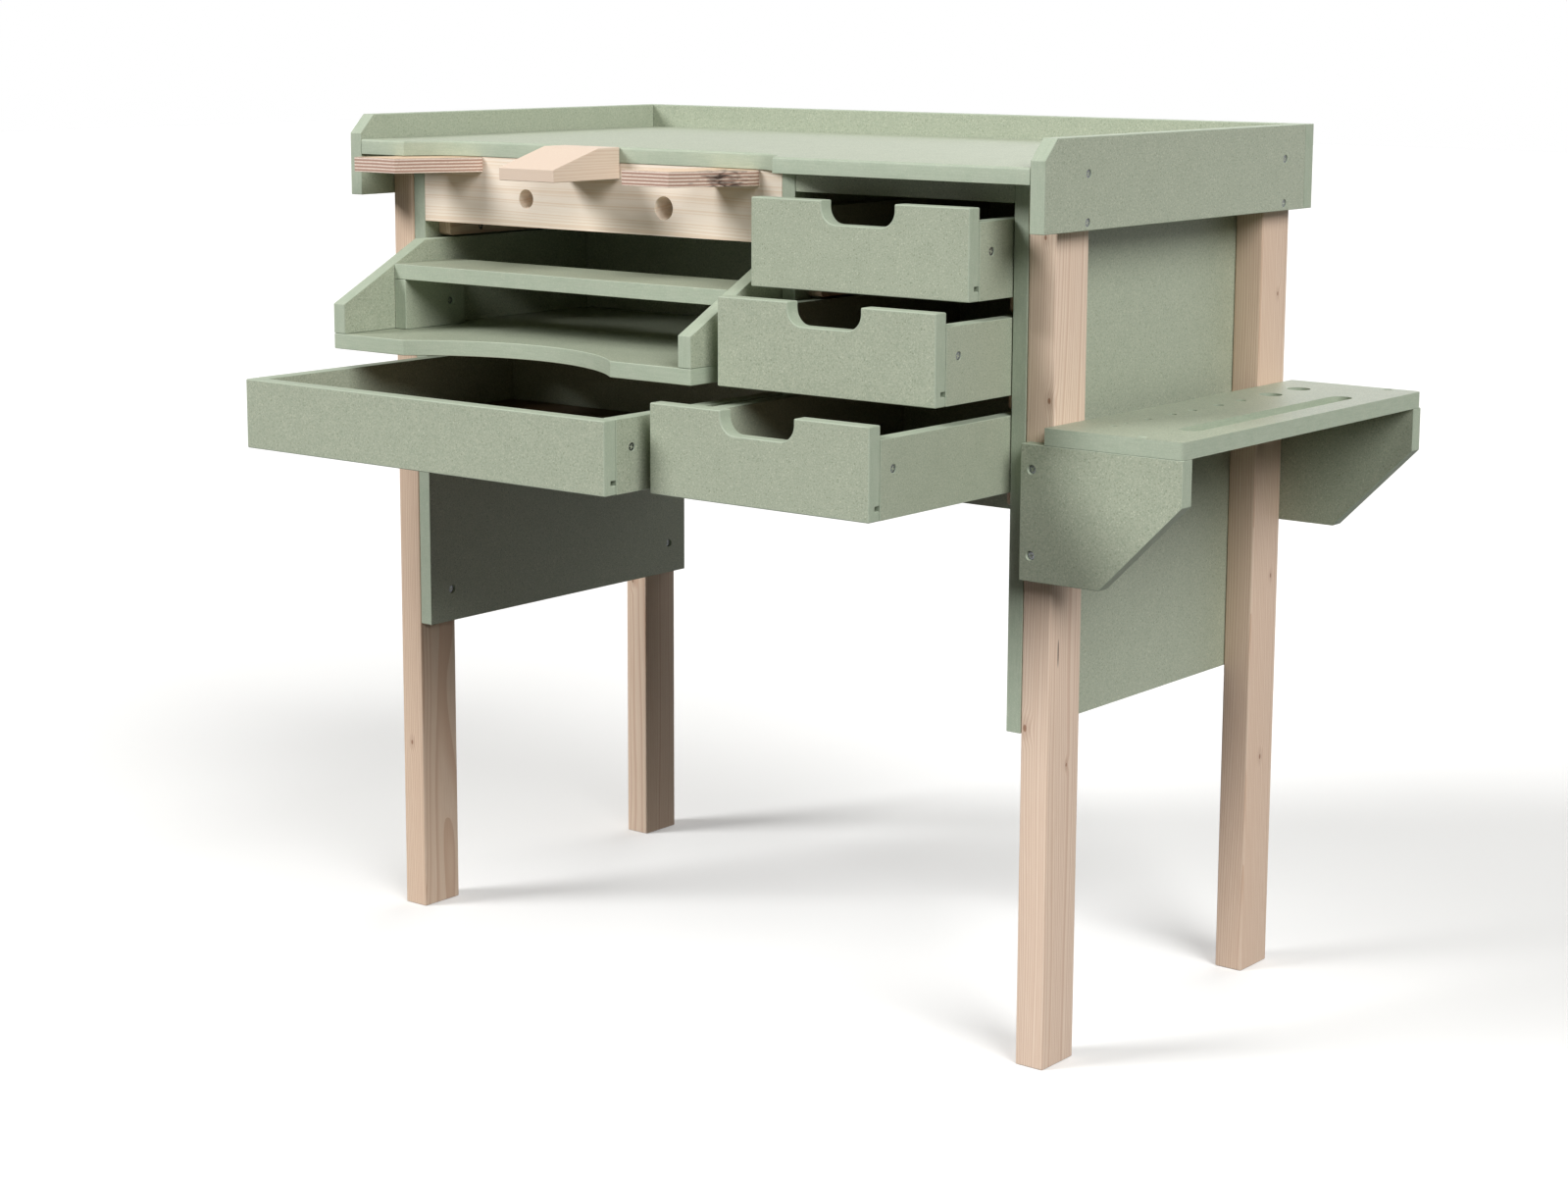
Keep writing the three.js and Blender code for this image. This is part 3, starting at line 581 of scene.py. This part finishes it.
mdf_board("tray_base", "upper_tray", "z", ease=0.001)
for name in ("tray_side_left", "tray_side_right"):
    mdf_board(name, "upper_tray", "x")
mdf_board("tray_shelf", "upper_tray", "z")
for name, side in (("tray_support_left", 1), ("tray_support_right", -1)):
    low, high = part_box(name)
    inner = high.x if side > 0 else low.x
    mdf_board(name, "upper_tray", "x", holes=[
        screw("upper_tray", (inner, low.y + 0.0765, low.z + 0.029), (side, 0, 0), DEEP)])
mdf_board("tray_back", "upper_tray", "y")


# ---------------------------------------------------------------- drawers
# Four MDF boxes: one wide drawer under the tray and three small ones with a notch for the fingers. The
# front covers the ends of the sides, and a thin hardboard bottom runs in a groove.

def smooth_hardboard():
    """Hardboard, dark brown and faintly shiny, with fibres felted every way."""
    material, tree, shader, place = new_material("smooth_hardboard", 0.45)
    felt = add(tree, "ShaderNodeTexNoise", {"Vector": place, "Scale": 1 / 2.5, "Detail": 4.0,
                                            "Distortion": 1.2})
    colour = add(tree, "ShaderNodeMix", {"Factor": felt.outputs["Fac"], 6: linear("#5a4330"),
                                         7: linear("#82664a")}, data_type="RGBA")
    tree.links.new(colour.outputs[2], shader.inputs["Base Color"])
    return material


hardboard = smooth_hardboard()
back_inset = 0.009  # into the middle of the back board's thickness
for drawer, body, setback, lift in (
    ("wide", "wide_drawer", 0.043, 0.048),
    ("lower", "drawer_lower", 0.040, 0.050),
    ("middle", "drawer_middle", 0.040, 0.050),
    ("top", "drawer_top", 0.040, 0.050),
):
    front_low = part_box(drawer + "_front")[0]
    mdf_board(drawer + "_front", body, "y", ease=0.0014)
    for hand, side in (("left", -1), ("right", 1)):
        low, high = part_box(f"{drawer}_side_{hand}")
        outer = high.x if side > 0 else low.x
        mdf_board(f"{drawer}_side_{hand}", body, "x", holes=[
            screw(body, (outer, y, low.z + lift), (side, 0, 0), FLUSH)
            for y in (front_low.y + setback, high.y - back_inset)])
    mdf_board(drawer + "_back", body, "y")
    base = merged_copy(drawer + "_bottom", drawer + "_bottom_sheet")
    ease_edges(base, 0.0003)
    base.data.materials.append(hardboard)
    fit(base, drawer + "_bottom", body)


# ---------------------------------------------------------------- side shelf
# An MDF shelf on two brackets outside the right legs, drilled for files and drills of several sizes and
# with a shallow trough for small tools. The brackets are screwed to the legs, the shelf to the brackets.

half_board = 0.009
low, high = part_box("tool_shelf")
mdf_board("tool_shelf", "bench", "z", holes=[
    screw("bench", (low.x + 0.111, low.y + half_board, high.z), (0, 0, 1), DEEP),
    screw("bench", (low.x + 0.127, high.y - half_board, high.z), (0, 0, 1), DEEP)])

leg_inset = 0.0135
for name, outward in (("shelf_bracket_front", -1), ("shelf_bracket_rear", 1)):
    low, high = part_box(name)
    outer = low.y if outward < 0 else high.y
    mdf_board(name, "bench", "y", holes=[
        screw("bench", (low.x + leg_inset, outer, low.z + lift), (0, outward, 0), DEEP)
        for lift in (0.027, 0.1175)])


# ---------------------------------------------------------------- screws
# Zinc-plated countersunk wood screws, 4.5 mm, with a cross recess. Only their heads show, 8.6 mm wide, at
# the bottoms of their countersinks.

def bright_zinc():
    """Bright zinc plate that has dulled a little: a mid-grey metal with a faint haze."""
    material, tree, shader, place = new_material("bright_zinc_plate", 0.32)
    haze = add(tree, "ShaderNodeTexNoise", {"Vector": place, "Scale": 0.9, "Detail": 2.0})
    colour = add(tree, "ShaderNodeMix", {"Factor": haze.outputs["Fac"], 6: linear("#4c4f53"),
                                         7: linear("#9b9ea2")}, data_type="RGBA")
    tree.links.new(colour.outputs[2], shader.inputs["Base Color"])
    shader.inputs["Metallic"].default_value = 1.0
    return material


bpy.ops.object.select_all(action="DESELECT")
head_radius = 0.0043
head_thickness = 0.0016
bpy.ops.mesh.primitive_cylinder_add(vertices=32, radius=head_radius, depth=head_thickness,
                                    location=(0, 0, -0.0006))
head = bpy.context.object
bpy.ops.object.transform_apply(location=True, rotation=True, scale=True)
bevel = head.modifiers.new("rim", "BEVEL")
bevel.width = 0.0003
bevel.segments = 2
bevel.limit_method = "ANGLE"
bpy.ops.object.modifier_apply(modifier=bevel.name)
for angle in (0, 90):
    bpy.ops.object.select_all(action="DESELECT")
    bpy.ops.mesh.primitive_cube_add(size=1, location=(0, 0, 0.0002), rotation=(0, 0, math.radians(angle)),
                                    scale=(0.0056, 0.0014, 0.0024))
    slot_tool = bpy.context.object
    bpy.ops.object.transform_apply(location=True, rotation=True, scale=True)
    cut_away(head, slot_tool)

zinc = bright_zinc()
for body, places in screws.items():
    heads = []
    for i, (place, outward) in enumerate(places):
        mesh = head.data.copy()
        turn = outward.to_track_quat("Z", "Y").to_matrix().to_4x4()
        # Each screw stops at its own angle.
        stop = Matrix.Rotation(math.radians(37 * i % 90), 4, "Z")
        mesh.transform(Matrix.Translation(place) @ turn @ stop)
        copy = bpy.data.objects.new("screw", mesh)
        scene.collection.objects.link(copy)
        heads.append(copy)
    bpy.ops.object.select_all(action="DESELECT")
    for copy in heads:
        copy.select_set(True)
    bpy.context.view_layer.objects.active = heads[0]
    bpy.ops.object.join()
    group = bpy.context.object
    group.name = "screws_" + body
    group.data.materials.clear()
    group.data.materials.append(zinc)
    bpy.ops.object.shade_smooth_by_angle(angle=math.radians(30))
    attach(group, body)
bpy.data.objects.remove(head)


# ---------------------------------------------------------------- floor
# A plain pale studio floor with matt paint. It glows a little of its own, so that the shadows on it stay
# as pale as they are where light comes from all round.

bpy.ops.object.select_all(action="DESELECT")
bpy.ops.mesh.primitive_plane_add(size=40, location=(0, 0, 0))
floor = bpy.context.object
floor.name = "studio_floor"
paint, paint_tree, paint_shader, paint_place = new_material("pale_studio_paint", 0.9)
grime = add(paint_tree, "ShaderNodeTexNoise", {"Vector": paint_place, "Scale": 0.002, "Detail": 2.0})
paint_colour = add(paint_tree, "ShaderNodeMix", {"Factor": grime.outputs["Fac"], 6: linear("#e0e0df"),
                                                 7: linear("#e6e6e5")}, data_type="RGBA")
paint_tree.links.new(paint_colour.outputs[2], paint_shader.inputs["Base Color"])
paint_shader.inputs["Emission Color"].default_value = (1, 1, 1, 1)
paint_shader.inputs["Emission Strength"].default_value = 0.2
floor.data.materials.append(paint)
floor.visible_diffuse = False  # the light that it would throw up is in the surround instead
floor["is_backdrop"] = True


# ---------------------------------------------------------------- light
# Studio light from the left of the front, a second lamp on the right, a weak one behind, and a pale
# surround that is brighter above than below. The lamps are far off, so the floor is evenly lit.

def far_lamp(name, towards, strength, softness):
    """A distant lamp that shines along the given direction, with its apparent width in degrees."""
    bpy.ops.object.select_all(action="DESELECT")
    bpy.ops.object.light_add(type="SUN", location=-3 * Vector(towards))
    lamp = bpy.context.object
    lamp.name = name
    lamp.data.energy = strength
    lamp.data.angle = math.radians(softness)
    lamp.rotation_euler = Vector(towards).to_track_quat("-Z", "Y").to_euler()


far_lamp("key_light", (0.8, 1.0, -0.76), 2.8, 24)
far_lamp("right_light", (-1.0, 0.45, -0.78), 2.8, 36)
far_lamp("back_light", (0.1, -1.0, -0.6), 1.0, 50)

world = bpy.data.worlds.new("pale_surround")
scene.world = world
world.use_nodes = True
sky = world.node_tree
toward = add(sky, "ShaderNodeTexCoord").outputs["Generated"]
rise = add(sky, "ShaderNodeSeparateXYZ", {"Vector": toward})
glow = add(sky, "ShaderNodeMapRange", {"Value": rise.outputs["Z"], "From Min": -0.15, "From Max": 0.35,
                                       "To Min": 0.025, "To Max": 0.09}, interpolation_type="SMOOTHSTEP")
surround = sky.nodes["Background"]
surround.inputs["Color"].default_value = (1.0, 0.92, 0.79, 1)  # the room's own light is warm
sky.links.new(glow.outputs[0], surround.inputs["Strength"])
backdrop = add(sky, "ShaderNodeBackground", {"Color": (1, 1, 1, 1), "Strength": 1.0})
rays = add(sky, "ShaderNodeLightPath")
# The white backdrop stands behind the bench, where the worktop mirrors it at a low angle.
behind = add(sky, "ShaderNodeMapRange", {"Value": rise.outputs["Y"], "From Min": 0.0, "From Max": 0.4,
                                         "To Min": 0.0, "To Max": 0.9}, interpolation_type="SMOOTHSTEP")
mirrored = add(sky, "ShaderNodeMath", {0: rays.outputs["Is Glossy Ray"], 1: behind.outputs[0]},
               operation="MULTIPLY")
seen = add(sky, "ShaderNodeMath", {0: rays.outputs["Is Camera Ray"], 1: mirrored.outputs[0]},
           operation="MAXIMUM")
mixed = add(sky, "ShaderNodeMixShader", {0: seen.outputs[0], 1: surround.outputs[0], 2: backdrop.outputs[0]})
sky.links.new(mixed.outputs[0], sky.nodes["World Output"].inputs["Surface"])
scene.view_settings.view_transform = "Standard"


# ---------------------------------------------------------------- camera
# The camera stands 3.3 m away at chest height, to the right of the front, and looks a little down. A
# small shift sets the bench in the frame.

bpy.ops.object.camera_add(location=(2.04635, -2.62705, 1.118),
                          rotation=(math.radians(80.617), math.radians(-0.215), math.radians(38.352)))
camera = bpy.context.object
camera.data.lens = 67.28
camera.data.sensor_width = 36
camera.data.shift_y = -0.0595
scene.camera = camera

low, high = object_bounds()
